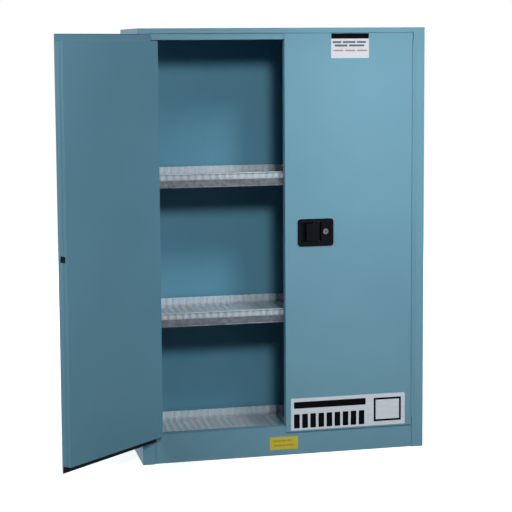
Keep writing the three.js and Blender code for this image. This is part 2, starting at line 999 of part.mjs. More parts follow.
function latchCam() {
  const back = camFront + camThickness;
  const level = block(
    [camX - camRadius, camX + camRadius],
    [camFront, back],
    [camHeight - camArmWidth / 2, camHeight + camArmWidth / 2],
  );
  const upright = block(
    [camX - camArmWidth / 2, camX + camArmWidth / 2],
    [camFront, back],
    [camHeight - camRadius, camHeight + fingerReach],
  );
  const rounds = [...camStuds, [0, fingerReach]].map(([x, z]) =>
    roundBar("Y", [camHeight + z, camX + x], camArmWidth / 2, camFront, back, pinSides),
  );
  const hub = roundBar("Y", [camHeight, camX], camHubRadius, camFront, back);
  const studs = camStuds.map(([x, z]) =>
    roundBar(
      "Y",
      [camHeight + z, camX + x],
      studPinRadius,
      back - sheet,
      barFront + barThickness + sheet,
      pinSides,
    ),
  );
  const finger = roundBar(
    "Y",
    [camHeight + fingerReach, camX],
    fingerRadius,
    camFront - fingerOverlap,
    camFront + sheet,
    pinSides,
  );
  const bore = roundBar(
    "Y",
    [camHeight, camX],
    studPinRadius + fit,
    camFront - overrun,
    back + overrun,
    pinSides,
  );
  return cut(join(level, upright, ...rounds, hub, ...studs, finger), bore);
}

// A flat latch rod with a slotted eye on a cam stud and a round nose at its far end.
function latchRod(direction) {
  const x = camX - direction * camRadius;
  const eye = roundBar("Y", [camHeight, x], eyeRadius, barFront, barFront + barThickness, roundSides);
  const tip = direction > 0 ? openingTop - boltRestGap : sillHeight + boltRestGap;
  const bar = block(
    [x - barWidth / 2, x + barWidth / 2],
    [barFront, barFront + barThickness],
    [camHeight, tip - (direction * boltTipLength) / 2],
  );
  const nose = tip - direction * boltNose;
  const round = roundBar("Z", [x, barMiddle], boltTipRadius, tip - direction * boltTipLength, nose);
  const point = roundBar("Z", [x, barMiddle], boltTipRadius, nose, tip, roundSides, boltTipRadius / 2);
  const slot = block(
    [x - studPinRadius - slotSidePlay, x + studPinRadius + slotSidePlay],
    [barFront - overrun, barFront + barThickness + overrun],
    [camHeight - studPinRadius - slotPlay, camHeight + studPinRadius + slotPlay],
  );
  return cut(join(bar, eye, round, point), slot);
}

function centreBolt() {
  const tip = centreGap / 2 - fit;
  const bar = block(
    [tip, camX],
    [barFront, barFront + barThickness],
    [boltHeight - barWidth / 2, boltHeight + barWidth / 2],
  );
  const eye = roundBar("Y", [boltHeight, camX], eyeRadius, barFront, barFront + barThickness, roundSides);
  const slot = block(
    [camX - studPinRadius - slotPlay, camX + studPinRadius + slotPlay],
    [barFront - overrun, barFront + barThickness + overrun],
    [boltHeight - studPinRadius - slotSidePlay, boltHeight + studPinRadius + slotSidePlay],
  );
  return cut(join(bar, eye), slot);
}

// Guides welded to the inside of the pan keep each rod's bar in line.
function rodGuide(direction) {
  const x = camX - direction * camRadius;
  const middle = direction > 0 ? panTop - guideInset : panBottom + guideInset;
  const back = front + doorThickness - sheet / 2;
  const outer = block(
    [x - barWidth / 2 - guideWall - slotPlay, x + barWidth / 2 + guideWall + slotPlay],
    [barFront - guideWall - slotPlay, back],
    [middle - guideHeight / 2, middle + guideHeight / 2],
  );
  const channel = block(
    [x - barWidth / 2 - slotPlay, x + barWidth / 2 + slotPlay],
    [barFront - slotPlay, barFront + barThickness + slotPlay],
    [middle - guideHeight, middle + guideHeight],
  );
  return cut(outer, channel);
}

function keyCylinder() {
  const centre = [keyHeight, plateLeft + plateWidth - keyInset];
  const face = front - plateThickness + recessDepth - keyProud;
  const barrel = roundBar("Y", centre, keyRadius, face, front + dishDepth - dishWall);
  const keyway = block(
    [centre[1] - keySlotWidth / 2, centre[1] + keySlotWidth / 2],
    [face - overrun, face + keySlotDepth],
    [keyHeight - keyRadius / 2, keyHeight + keyRadius / 2],
  );
  return cut(barrel, keyway);
}

function buildCarcass() {
  for (const [name, side, ventHeight] of sides) {
    addPart("outer_side_" + name, outerSide(side, ventHeight), bluePaint);
    addPart("inner_side_" + name, innerSide(side, ventHeight), bluePaint);
    addPart("vent_sleeve_" + name, ventSleeve(side, ventHeight), zincSteel);
    addPart("vent_bung_" + name, ventBung(side, ventHeight), bluePaint);
    addPart("flame_arrester_" + name, flameArrester(side, ventHeight), brass);
    addPart("hinge_frame_leaf_" + name, hingeLeaf(side, true), bluePaint);
    addPart("hinge_pin_" + name, hingePin(side), brightSteel);
  }
  addPart("outer_back", outerBack(), bluePaint);
  addPart("outer_top", outerTop(), bluePaint);
  addPart("outer_floor", outerFloor(), bluePaint);
  addPart("header", header(), bluePaint);
  addPart("plinth", plinth(), bluePaint);
  addPart("inner_back", innerBack(), bluePaint);
  addPart("inner_top", innerTop(), bluePaint);
  addPart("sump_pan", sumpPan(), bluePaint);
  addPart("ground_stud", groundStud(), zincSteel);
  for (const [name, side, y] of footPlaces) addPart("foot_" + name, foot(side, y), zincSteel);
}

function buildStorage() {
  const decks = [
    ["lower", shelfLevel(lowerShelfHeight)],
    ["upper", shelfLevel(upperShelfHeight)],
  ];
  for (const [place, y] of standardPlaces) {
    for (const [name, side] of sides) {
      addPart(["standard", place, name].join("_"), standard(side, y), zincSteel);
      for (const [level, deck] of decks) {
        addPart(["clip", level, place, name].join("_"), shelfClip(side, y, deck), zincSteel);
      }
    }
  }
  for (const [level, deck] of decks) {
    addPart("shelf_" + level, shelf(deck), zincSteel);
    addPart("tray_" + level, tray(deck), whitePlastic);
  }
  addPart("tray_sump", tray(sumpFloor), whitePlastic);
}

function buildLeftDoor() {
  const angle = THREE.MathUtils.degToRad(-doorOpenDegrees);
  const door = pivotGroup([-hingeX, hingeY, 0], [0, 0, 1], angle, cabinet);
  addPart("door_skin_left", cut(doorSkin(-1), strikeNotch()), bluePaint, door);
  addPart("door_pan_left", cut(doorPan(-1), boltSlot(-1, 0, skinReturn)), bluePaint, door);
  addPart("hinge_door_leaf_left", hingeLeaf(-1, false), bluePaint, door);
  addPart("strike_plate", strikePlate(), blackPlastic, door);
}

function buildRightDoor() {
  const holes = [1, -1].map((direction) =>
    roundBar(
      "Z",
      [camX - direction * camRadius, barMiddle],
      boltTipRadius + 2 * fit,
      (direction > 0 ? panTop : panBottom) - overrun,
      (direction > 0 ? panTop : panBottom) + overrun,
    ),
  );
  addPart("door_skin_right", cut(doorSkin(1), housingOpening()), bluePaint);
  const pan = cut(doorPan(1), boltSlot(1, 0, skinReturn), ...holes);
  addPart("door_pan_right", join(pan, rodGuide(1), rodGuide(-1)), bluePaint);
  addPart("hinge_door_leaf_right", hingeLeaf(1, false), bluePaint);
  addPart("latch_housing", housing(), blackPlastic);
  addPart("paddle_pin", paddlePin(), brightSteel);
  addPart("latch_cam", latchCam(), zincSteel);
  addPart("latch_rod_top", latchRod(1), zincSteel);
  addPart("latch_rod_bottom", latchRod(-1), zincSteel);
  addPart("centre_bolt", centreBolt(), zincSteel);
  addPart("key_cylinder", keyCylinder(), brightSteel);
  const swing = pivotGroup([paddlePinX, paddlePinY, 0], [0, 0, 1], drawn, cabinet);
  addPart("paddle", paddle(), blackPlastic, swing);
}

buildCarcass();
buildStorage();
buildLeftDoor();
buildRightDoor();

export default cabinet;
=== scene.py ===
"""A double-walled safety cabinet, its left door open, on a pale studio floor."""
import json
import math

import bmesh
import bpy
from mathutils import Matrix, Vector


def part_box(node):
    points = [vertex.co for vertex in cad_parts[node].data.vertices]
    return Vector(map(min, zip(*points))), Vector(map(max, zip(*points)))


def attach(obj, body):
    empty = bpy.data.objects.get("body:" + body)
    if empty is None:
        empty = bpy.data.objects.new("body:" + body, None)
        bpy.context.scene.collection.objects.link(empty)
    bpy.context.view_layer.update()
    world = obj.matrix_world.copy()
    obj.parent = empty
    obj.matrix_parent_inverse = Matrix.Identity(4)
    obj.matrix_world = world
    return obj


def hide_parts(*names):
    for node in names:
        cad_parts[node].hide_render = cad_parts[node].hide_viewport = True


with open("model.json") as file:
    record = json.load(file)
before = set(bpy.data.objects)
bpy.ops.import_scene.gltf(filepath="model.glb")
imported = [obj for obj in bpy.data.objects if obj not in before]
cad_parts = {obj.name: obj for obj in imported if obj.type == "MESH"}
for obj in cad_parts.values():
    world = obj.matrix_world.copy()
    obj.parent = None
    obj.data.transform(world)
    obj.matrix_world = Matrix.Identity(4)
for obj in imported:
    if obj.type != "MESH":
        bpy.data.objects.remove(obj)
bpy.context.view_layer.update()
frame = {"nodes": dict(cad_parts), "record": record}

nodes = frame["nodes"]

# Places on the object, in metres
front_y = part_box("outer_side_left")[0][1]
plinth_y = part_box("plinth")[0][1]

# Camera
CAMERA_TURN = (12.84, -5.86, -0.37)
CAMERA_PLACE = (-1.351, front_y - 5.434, 1.592)
CAMERA_LENS = 103.71
CAMERA_SENSOR = 36
CAMERA_SHIFT = -0.119
CAMERA_REACH = 100


def place_camera():
    """A long lens to the left of the cabinet, a little under the height of its top."""
    yaw, pitch, roll = (math.radians(angle) for angle in CAMERA_TURN)
    ahead = Vector((
        math.sin(yaw) * math.cos(pitch),
        math.cos(yaw) * math.cos(pitch),
        math.sin(pitch),
    ))
    level = Vector((math.cos(yaw), -math.sin(yaw), 0))
    above = level.cross(ahead)
    right = level * math.cos(roll) + above * math.sin(roll)
    up = above * math.cos(roll) - level * math.sin(roll)
    data = bpy.data.cameras.new("camera")
    data.sensor_width = CAMERA_SENSOR
    data.lens = CAMERA_LENS
    data.shift_y = CAMERA_SHIFT
    data.clip_end = CAMERA_REACH
    camera = bpy.data.objects.new("camera", data)
    turn = Matrix((right, up, -ahead)).transposed().to_4x4()
    camera.matrix_world = Matrix.Translation(CAMERA_PLACE) @ turn
    bpy.context.scene.collection.objects.link(camera)
    bpy.context.scene.camera = camera


# Colours
def srgb(*rgb):
    """Linear colour with alpha from 8-bit display values."""
    return tuple(
        ((c / 255 + 0.055) / 1.055) ** 2.4 if c > 10 else c / 255 / 12.92 for c in rgb
    ) + (1,)


def toned(shade, change):
    """A shade with the same step added to each display value."""
    return srgb(*(min(255, max(0, c + change)) for c in shade))


# Node helpers
MIX_FACTOR, MIX_FIRST, MIX_SECOND, MIX_RESULT = 0, 6, 7, 2


class Tree:
    """A node tree with short calls for what is used here."""

    def __init__(self, tree, output):
        self.tree = tree
        self.tree.nodes.clear()
        self.output = self.node(output)

    def node(self, kind, **values):
        made = self.tree.nodes.new(kind)
        for key, value in values.items():
            setattr(made, key, value)
        return made

    def link(self, source, target):
        self.tree.links.new(source, target)

    def feed(self, target, value):
        """Sets a socket to a number or a colour, or links it to another node."""
        if isinstance(value, (int, float, tuple)):
            target.default_value = value
        else:
            self.link(value, target)

    def place(self):
        """Object coordinates, which are the part's own frame in metres."""
        return self.node("ShaderNodeTexCoord").outputs["Object"]

    def texture(self, kind, scale, stretch=(1, 1, 1)):
        mapping = self.node("ShaderNodeMapping")
        mapping.inputs["Scale"].default_value = stretch
        self.link(self.place(), mapping.inputs["Vector"])
        made = self.node(kind)
        made.inputs["Scale"].default_value = scale
        self.link(mapping.outputs["Vector"], made.inputs["Vector"])
        return made

    def noise(self, scale, detail=3.0, stretch=(1, 1, 1), roughness=0.55):
        made = self.texture("ShaderNodeTexNoise", scale, stretch)
        made.inputs["Detail"].default_value = detail
        made.inputs["Roughness"].default_value = roughness
        return made.outputs["Fac"]

    def cells(self, scale):
        return self.texture("ShaderNodeTexVoronoi", scale)

    def ramp(self, source, *stops):
        """A blend of colours along source, by (place, colour)."""
        made = self.node("ShaderNodeValToRGB")
        for element, (place, colour) in zip(made.color_ramp.elements, stops, strict=True):
            element.position = place
            element.color = colour
        self.link(source, made.inputs["Fac"])
        return made.outputs["Color"]

    def tones(self, source, shade, *stops):
        """A blend of one shade's tones along source, by (place, step in tone)."""
        return self.ramp(source, *((place, toned(shade, step)) for place, step in stops))

    def span(self, source, low, high, from_low=0.0, from_high=1.0):
        """Source, from from_low to from_high, spread between low and high and held there."""
        made = self.node("ShaderNodeMapRange")
        ends = {"From Min": from_low, "From Max": from_high, "To Min": low, "To Max": high}
        for key, value in ends.items():
            made.inputs[key].default_value = value
        self.link(source, made.inputs["Value"])
        return made.outputs["Result"]

    def mix(self, factor, first, second):
        made = self.node("ShaderNodeMix", data_type="RGBA")
        for key, value in ((MIX_FACTOR, factor), (MIX_FIRST, first), (MIX_SECOND, second)):
            self.feed(made.inputs[key], value)
        return made.outputs[MIX_RESULT]

    def combine(self, first, second, operation="ADD"):
        made = self.node("ShaderNodeMath", operation=operation)
        self.feed(made.inputs[0], first)
        self.feed(made.inputs[1], second)
        return made.outputs[0]

    def seen(self):
        """1 for rays from the camera, by a mirror or through glass, 0 for diffuse light."""
        path = self.node("ShaderNodeLightPath")
        made = path.outputs["Is Camera Ray"]
        for other in ("Is Glossy Ray", "Is Transmission Ray"):
            made = self.combine(made, path.outputs[other], "MAXIMUM")
        return made


class Shader(Tree):
    """A new material's node tree."""

    def __init__(self, name):
        self.material = bpy.data.materials.new(name)
        self.material.use_nodes = True
        super().__init__(self.material.node_tree, "ShaderNodeOutputMaterial")

    def convex_edge(self, radius, low, high):
        """1 on convex edges, 0 on flat faces."""
        bevel = self.node("ShaderNodeBevel", samples=4)
        bevel.inputs["Radius"].default_value = radius
        plain = self.node("ShaderNodeNewGeometry").outputs["Normal"]
        dot = self.node("ShaderNodeVectorMath", operation="DOT_PRODUCT")
        self.link(bevel.outputs["Normal"], dot.inputs[0])
        self.link(plain, dot.inputs[1])
        return self.span(dot.outputs["Value"], 1.0, 0.0, low, high)

    def finish(self, colour, roughness, height, depth, metallic=0.0, **settings):
        body = self.node("ShaderNodeBsdfPrincipled")
        self.feed(body.inputs["Base Color"], colour)
        self.feed(body.inputs["Roughness"], roughness)
        body.inputs["Metallic"].default_value = metallic
        for key, value in settings.items():
            body.inputs[key.replace("_", " ")].default_value = value
        bump = self.node("ShaderNodeBump")
        bump.inputs["Distance"].default_value = depth
        bump.inputs["Strength"].default_value = 1.0
        self.link(height, bump.inputs["Height"])
        self.link(bump.outputs["Normal"], body.inputs["Normal"])
        self.link(body.outputs["BSDF"], self.output.inputs["Surface"])
        return self.material


# Finishes
def powder_coat(name, shade, grime, shine):
    """Baked powder coat: orange peel, a slow drift of tone, handling marks, and convex edges
    lightened partly as rubbed paint and partly as a painted highlight.
    """
    s = Shader(name)
    base = s.tones(s.noise(2.2, 2.0), shade, (0.3, -3), (0.7, 3))
    speck = s.noise(900.0, 2.0)
    base = s.mix(s.span(speck, 0.0, 0.10), base, toned(shade, 34))
    smear = s.noise(7.0, 5.0, (1, 1, 0.35), 0.65)
    soiled = srgb(*(int(c * 0.72) for c in shade))
    base = s.mix(s.span(smear, 0.0, grime, 0.52, 0.8), base, soiled)
    # Convex edges made lighter: partly rubbed paint, partly a painted highlight where the bends
    # catch the light.
    edge_lightening = s.combine(s.convex_edge(0.0012, 0.75, 0.98), 0.22, "MULTIPLY")
    base = s.mix(edge_lightening, base, toned(shade, 48))
    rough = s.combine(s.span(s.noise(40.0, 4.0), 0.36, 0.50), s.span(speck, -0.03, 0.05))
    peel = s.noise(420.0, 2.0)
    return s.finish(base, rough, peel, 0.00012, Specular_IOR_Level=shine)


def zinc(name, shade, rough):
    """Galvanised sheet: spangle cells of slightly different tone and dullness."""
    s = Shader(name)
    tone = s.node("ShaderNodeSeparateColor")
    s.link(s.cells(95.0).outputs["Color"], tone.inputs["Color"])
    base = s.tones(tone.outputs[0], shade, (0.0, -14), (1.0, 12))
    streak = s.noise(60.0, 4.0, (0.08, 1, 1))
    base = s.mix(s.span(streak, 0.0, 0.35, 0.45, 0.8), base, toned(shade, -30))
    dull = s.combine(s.span(tone.outputs[1], *rough), s.span(s.noise(500.0), -0.04, 0.06))
    return s.finish(base, dull, s.noise(240.0), 0.0001, 0.6)


def bare_steel(name, shade):
    """Drawn steel: fine lines round the bar."""
    s = Shader(name)
    lines = s.noise(700.0, 3.0, (0.05, 0.05, 1))
    base = s.tones(lines, shade, (0.3, -18), (0.75, 8))
    return s.finish(base, s.span(lines, 0.2, 0.38), lines, 0.00003, 1.0)


def moulded_black(name):
    """Textured black nylon, a little greyer where hands rub it."""
    s = Shader(name)
    base = s.ramp(s.noise(30.0), (0.3, srgb(6, 8, 11)), (0.75, srgb(12, 14, 18)))
    edge_lightening = s.combine(s.convex_edge(0.001, 0.7, 0.98), 0.25, "MULTIPLY")
    base = s.mix(edge_lightening, base, srgb(46, 49, 54))
    grain = s.noise(1400.0, 2.0)
    rough = s.combine(s.span(s.noise(55.0, 4.0), 0.34, 0.5), s.span(grain, -0.04, 0.06))
    return s.finish(base, rough, grain, 0.00008, Specular_IOR_Level=0.06)


def milky_tray(name):
    """Natural polyethylene: milky, a little see-through, scuffed, with painted shade darkening its
    flutes and corners.
    """
    s = Shader(name)
    base = s.ramp(s.noise(14.0), (0.3, srgb(222, 239, 255)), (0.7, srgb(236, 249, 255)))
    scuff = s.noise(90.0, 5.0, (0.3, 1, 1), 0.7)
    base = s.mix(s.span(scuff, 0.0, 0.25, 0.5, 0.8), base, srgb(172, 181, 196))
    # Painted shade: ambient occlusion darkens the flutes, corners and floor edges to a dark
    # blue-grey.
    flute_shade = s.node("ShaderNodeAmbientOcclusion", samples=6)
    flute_shade.inputs["Distance"].default_value = 0.014
    base = s.mix(s.span(flute_shade.outputs["AO"], 0.95, 0.0, 0.3, 0.76), base, srgb(44, 62, 80))
    return s.finish(
        base,
        s.span(scuff, 0.3, 0.45),
        s.noise(160.0, 2.0),
        0.00015,
        Subsurface_Weight=0.12,
        Subsurface_Scale=0.003,
        Transmission_Weight=0.3,
        IOR=1.5,
    )


def brass_gauze(name):
    """Woven wire of the flame arresters."""
    s = Shader(name)
    weave = s.cells(900.0).outputs["Distance"]
    base = s.ramp(weave, (0.1, srgb(196, 164, 100)), (0.6, srgb(74, 58, 30)))
    return s.finish(base, 0.42, weave, 0.0004, 0.9)


def plate_metal(name, shade):
    """Satin silver film with a faint level grain."""
    s = Shader(name)
    lines = s.noise(500.0, 3.0, (0.04, 1, 1))
    base = s.tones(lines, shade, (0.3, -8), (0.75, 6))
    return s.finish(base, s.span(lines, 0.32, 0.46), lines, 0.00002, 0.35)


def printed_film(name, shade, gloss=0.4, shine=0.15):
    """Self-adhesive vinyl: nearly even, with a slight mottle."""
    s = Shader(name)
    mottle = s.noise(160.0, 4.0)
    base = s.tones(mottle, shade, (0.3, -7), (0.75, 5))
    rough = s.span(mottle, gloss - 0.05, gloss + 0.08)
    return s.finish(base, rough, mottle, 0.00003, Specular_IOR_Level=shine)


# Meshes
CORNER_STARTS = ((1, 1, 0), (-1, 1, 90), (-1, -1, 180), (1, -1, 270))
WELD = 0.000001


def new_object(name, mesh, material):
    made = bpy.data.objects.new(name, mesh)
    bpy.context.scene.collection.objects.link(made)
    mesh.materials.clear()
    mesh.materials.append(material)
    return made


def as_object(bm, name, material):
    """The finished object of a bmesh, with its faces turned outward."""
    bmesh.ops.recalc_face_normals(bm, faces=bm.faces)
    mesh = bpy.data.meshes.new(name)
    bm.to_mesh(mesh)
    bm.free()
    return new_object(name, mesh, material)


def bridge(bm, rows, closed=True):
    """Quads between each row of points and the next, which go on round where a row is closed."""
    for low, high in zip(rows, rows[1:]):
        count = len(low)
        for i in range(count if closed else count - 1):
            j = (i + 1) % count
            bm.faces.new((low[i], low[j], high[j], high[i]))


def cap(bm, rows):
    bm.faces.new(list(reversed(rows[0])))
    bm.faces.new(rows[-1])


def rounded_plate(name, centre, size, corner, thickness, material, steps=6):
    """A thin round-cornered plate that faces -Y; its back lies on the plane that centre is in."""
    x, y, z = centre
    half_wide, half_high = size[0] / 2 - corner, size[1] / 2 - corner
    outline = []
    for side, level, start in CORNER_STARTS:
        for i in range(steps + 1):
            angle = math.radians(start + 90 * i / steps)
            px = x + side * half_wide + corner * math.cos(angle)
            pz = z + level * half_high + corner * math.sin(angle)
            outline.append((px, pz))
    lip = min(thickness / 2, corner / 2)
    bm = bmesh.new()
    rows = []
    for depth, shrink in ((0.0, 0.0), (thickness - lip, 0.0), (thickness, lip)):
        row = []
        for px, pz in outline:
            inward = math.copysign(shrink, x - px), math.copysign(shrink, z - pz)
            row.append(bm.verts.new((px + inward[0], y - depth, pz + inward[1])))
        rows.append(row)
    bridge(bm, rows)
    cap(bm, rows)
    return as_object(bm, name, material)


def turned(name, profile, place, facing, material, sides):
    """A turned piece: (radius, height) rings round an axis from place in the direction facing."""
    turn = Vector((0, 0, 1)).rotation_difference(Vector(facing)).to_matrix()
    bm = bmesh.new()
    rows = []
    for radius, height in profile:
        row = []
        for i in range(sides):
            angle = 2 * math.pi * i / sides
            point = turn @ Vector((radius * math.cos(angle), radius * math.sin(angle), height))
            row.append(bm.verts.new(Vector(place) + point))
        rows.append(row)
    bridge(bm, rows)
    for face in bm.faces:
        face.smooth = True
    if profile[0] == profile[-1]:
        bmesh.ops.remove_doubles(bm, verts=bm.verts, dist=WELD)
    else:
        cap(bm, rows)
    return as_object(bm, name, material)


def joined(name, pieces):
    """One object out of several that ride the same body."""
    bm = bmesh.new()
    for piece in pieces:
        bm.from_mesh(piece.data)
    mesh = bpy.data.meshes.new(name)
    bm.to_mesh(mesh)
    bm.free()
    material = pieces[0].data.materials[0]
    for piece in pieces:
        bpy.data.objects.remove(piece)
    return new_object(name, mesh, material)


# Trays
TRAY_CORNER = 0.014
TRAY_PITCH = 0.0278
TRAY_WAVE = 0.0066
TRAY_WALL = 0.0022
TRAY_RIM = 0.0015
TRAY_RIDGE = 0.0064
TRAY_INSIDE = TRAY_RIM + TRAY_WALL
TRAY_FOOT = 0.006
TRAY_UNDERSIDE = 0.0004
RIDGE_FADE = 0.008
RIDGE_END = 0.2
FLUTE_STEPS = 10
CORNER_STEPS = 6
WALL_SHARPNESS = 1.8
RIDGE_SHARPNESS = 1.5


def flute(phase, sharpness):
    """0 between two flutes and 1 in the middle of one."""
    return (0.5 - 0.5 * math.cos(2 * math.pi * phase)) ** sharpness


def tray_outline(half_x, half_y):
    """Points round a tray, each with the way outward and its phase, which is 0 in the corners."""
    made = []
    for start, end, outward in (
        ((half_x, -half_y), (half_x, half_y), (1, 0)),
        ((half_x, half_y), (-half_x, half_y), (0, 1)),
        ((-half_x, half_y), (-half_x, -half_y), (-1, 0)),
        ((-half_x, -half_y), (half_x, -half_y), (0, -1)),
    ):
        run = end[0] - start[0], end[1] - start[1]
        waves = round((abs(run[0]) + abs(run[1])) / TRAY_PITCH)
        steps = waves * FLUTE_STEPS
        for i in range(steps):
            part = i / steps
            point = start[0] + run[0] * part, start[1] + run[1] * part
            made.append((point, outward, part * waves))
        facing = math.atan2(outward[1], outward[0])
        for i in range(CORNER_STEPS):
            angle = facing + math.pi / 2 * i / CORNER_STEPS
            made.append((end, (math.cos(angle), math.sin(angle)), 0.0))
    return made


def tray_profile(top):
    """Outside, rim and inside as (level, inset, share of the flute's depth)."""
    return (
        (0.0, TRAY_RIM + 0.003, 0.0),
        (0.002, TRAY_RIM + 0.0005, 0.6),
        (0.006, TRAY_RIM, 1.0),
        (top - 0.010, TRAY_RIM, 1.0),
        (top - 0.0042, TRAY_RIM, 0.5),
        (top - 0.0036, 0.0004, 0.1),
        (top - 0.0018, 0.0, 0.1),
        (top - 0.0002, 0.0008, 0.2),
        (top, TRAY_RIM + TRAY_WALL / 2, 0.5),
        (top - 0.0006, TRAY_INSIDE, 0.8),
        (top - 0.006, TRAY_INSIDE, 1.0),
        (0.010, TRAY_INSIDE, 1.0),
        (0.0055, TRAY_INSIDE + 0.0006, 0.9),
        (0.0032, TRAY_INSIDE + 0.0022, 0.6),
        (TRAY_WALL, TRAY_INSIDE + TRAY_FOOT, 0.2),
    )


def add_tray_walls(bm, centre, foot, top, half_x, half_y):
    points = tray_outline(half_x, half_y)
    rows = []
    for level, inset, share in tray_profile(top):
        row = []
        for (px, py), outward, phase in points:
            out = TRAY_CORNER - inset - TRAY_WAVE * share * flute(phase, WALL_SHARPNESS)
            x = centre[0] + px + outward[0] * out
            y = centre[1] + py + outward[1] * out
            row.append(bm.verts.new((x, y, foot + level)))
        rows.append(row)
    bridge(bm, rows)


def add_tray_floor(bm, centre, foot, half_x, half_y):
    """Ridges that run from front to back, over a flat underside."""
    columns = round(2 * half_x / TRAY_PITCH) * FLUTE_STEPS
    lines = (
        (-half_y, RIDGE_END),
        (-half_y + RIDGE_FADE, 1.0),
        (half_y - RIDGE_FADE, 1.0),
        (half_y, RIDGE_END),
    )
    for level, ridge in ((TRAY_WALL, TRAY_RIDGE), (TRAY_UNDERSIDE, 0.0)):
        rows = []
        for y, rise in lines:
            row = []
            for i in range(columns + 1):
                x = -half_x + 2 * half_x * i / columns
                lift = ridge * rise * flute(i / FLUTE_STEPS, RIDGE_SHARPNESS)
                row.append(bm.verts.new((centre[0] + x, centre[1] + y, foot + level + lift)))
            rows.append(row)
        bridge(bm, rows, closed=False)


def fluted_tray(node, material):
    """A moulded tray with fluted walls and floor, in the place of its plain solid."""
    low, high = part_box(node)
    centre = (low[0] + high[0]) / 2, (low[1] + high[1]) / 2
    half_x, half_y = ((high[i] - low[i]) / 2 - TRAY_CORNER for i in (0, 1))
    bm = bmesh.new()
    add_tray_walls(bm, centre, low[2], high[2] - low[2], half_x, half_y)
    edge = TRAY_CORNER - TRAY_INSIDE - TRAY_FOOT
    add_tray_floor(bm, centre, low[2], half_x + edge, half_y + edge)
    for face in bm.faces:
        face.smooth = True
    made = as_object(bm, node + "_fluted", material)
    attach(made, node + "_body")
    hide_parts(node)


# Stage
FLOOR_HALF = 30
FLOOR_DROP = 0.0002
FLOOR_GLOW = 0.7
FLOOR_GLOW_NEAR = 0.9
FLOOR_GLOW_FAR = 2.2
FLOOR_BOUNCE = 0.05
WORLD_LEVEL = 0.02


def build_world():
    """Plain white where it is seen, and faint as a light."""
    world = bpy.data.worlds.new("world")
    bpy.context.scene.world = world
    world.use_nodes = True
    s = Tree(world.node_tree, "ShaderNodeOutputWorld")
    light = s.node("ShaderNodeBackground")
    light.inputs["Color"].default_value = (1, 1, 1, 1)
    s.link(s.span(s.seen(), WORLD_LEVEL, 1.0), light.inputs["Strength"])
    s.link(light.outputs["Background"], s.output.inputs["Surface"])


def floor_material():
    """Pale and lit from within where it is seen, so it keeps the shadow, and dark as a bounce."""
    s = Shader("floor")
    unseen = s.node("ShaderNodeBsdfDiffuse")
    unseen.inputs["Color"].default_value = (FLOOR_BOUNCE, FLOOR_BOUNCE, FLOOR_BOUNCE, 1)
    lit = s.node("ShaderNodeBsdfDiffuse")
    mottle = s.ramp(s.noise(3.0, 2.0), (0.3, (0.78, 0.78, 0.78, 1)), (0.7, (0.8, 0.8, 0.8, 1)))
    s.link(mottle, lit.inputs["Color"])
    away = s.node("ShaderNodeVectorMath", operation="LENGTH")
    s.link(s.place(), away.inputs[0])
    strength = s.span(away.outputs["Value"], FLOOR_GLOW, 1.0, FLOOR_GLOW_NEAR, FLOOR_GLOW_FAR)
    glow = s.node("ShaderNodeEmission")
    s.link(strength, glow.inputs["Strength"])
    both = s.node("ShaderNodeAddShader")
    s.link(lit.outputs[0], both.inputs[0])
    s.link(glow.outputs[0], both.inputs[1])
    pick = s.node("ShaderNodeMixShader")
    s.link(s.seen(), pick.inputs[0])
    s.link(unseen.outputs[0], pick.inputs[1])
    s.link(both.outputs[0], pick.inputs[2])
    s.link(pick.outputs[0], s.output.inputs["Surface"])
    return s.material


def build_floor():
    mesh = bpy.data.meshes.new("floor")
    corners = [(x * FLOOR_HALF, y * FLOOR_HALF, 0) for x, y in ((-1, -1), (1, -1), (1, 1), (-1, 1))]
    mesh.from_pydata(corners, [], [(0, 1, 2, 3)])
    floor = new_object("floor", mesh, floor_material())
    floor.location.z = -FLOOR_DROP


# Lamps, each with its place, power and size
LOOK_AT = (0, -0.2, 0.85)
LAMPS = {
    "key": ((-0.5, -5.0, 2.75), 98, 0.7),
    "side": ((-4.6, -2.8, 3.0), 72, 1.8),
    "rear": ((0.9, 4.4, 3.0), 150, 2.2),
    "right": ((4.4, 1.0, 1.2), 80, 1.6),
    "left": ((-4.2, 2.2, 1.6), 48, 1.6),
    "fill": ((3.4, -3.4, 2.1), 24, 1.6),
}
HOOD_PLACE = (0.6, -2.4, 2.9)
HOOD_LOOK_AT = (0.37, -0.44, 1.02)
HOOD_POWER = 172
HOOD_CONE = 41
HOOD_SIZE = 0.35


def add_lamp(data, place, look_at):
    lamp = bpy.data.objects.new(data.name, data)
    lamp.location = place
    aim = Vector(look_at) - Vector(place)
    lamp.rotation_euler = aim.to_track_quat("-Z", "Y").to_euler()
    bpy.context.scene.collection.objects.link(lamp)


def build_lights():
    """Soft lamps on all four sides, and a hooded one high before the closed door."""
    for name, (place, power, size) in LAMPS.items():
        data = bpy.data.lights.new(name, "AREA")
        data.energy = power
        data.shape = "DISK"
        data.size = size
        add_lamp(data, place, LOOK_AT)
    hood = bpy.data.lights.new("hood", "SPOT")
    hood.energy = HOOD_POWER
    hood.spot_size = math.radians(HOOD_CONE)
    hood.spot_blend = 1.0
    hood.shadow_soft_size = HOOD_SIZE
    add_lamp(hood, HOOD_PLACE, HOOD_LOOK_AT)


# Edges of the solids
EDGE_MERGE = 0.00001
EDGE_ANGLE = 40
EDGE_WEIGHT = 80
DOOR_EDGE = 0.0008
SHELF_EDGE = 0.0009
MOULDED_EDGE = 0.0009


def dress(node, material):
    obj = nodes[node]
    obj.data.materials.clear()
    obj.data.materials.append(material)


